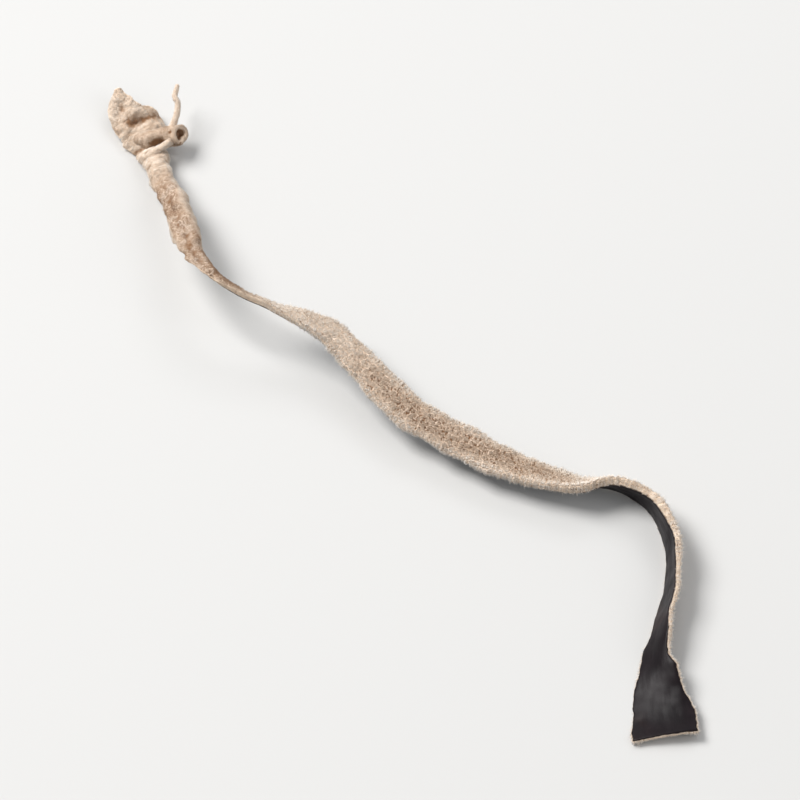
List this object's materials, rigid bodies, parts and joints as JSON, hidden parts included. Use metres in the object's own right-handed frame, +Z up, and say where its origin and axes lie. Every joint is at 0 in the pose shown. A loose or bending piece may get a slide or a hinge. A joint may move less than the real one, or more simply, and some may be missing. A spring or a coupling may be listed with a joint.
{
  "type": "dried wood ear mushroom strip",
  "caption": "Dried shredded strip of white-backed wood ear mushroom: a thin twisted ribbon, felted tan on one face and dark on the other, with a crumpled end and a flared tail.",
  "frame": {"origin": "centre of the bounding box's base, on the surface that the strip lies on", "axes": "+X right, across the strip's run; +Y along the run, from the flared tail to the crumpled end; +Z up, away from the surface"},
  "size_m": [0.0612, 0.0796, 0.0069],
  "materials": {
    "dried_flesh": "dry felted tan on the outer face, satin brown-black on the inner face, pale cut edges",
    "felt": "short matt pale tan hairs"
  },
  "bodies": {
    "root": {"mushroom_strip": "dried_flesh"}
  },
  "joints": []
}
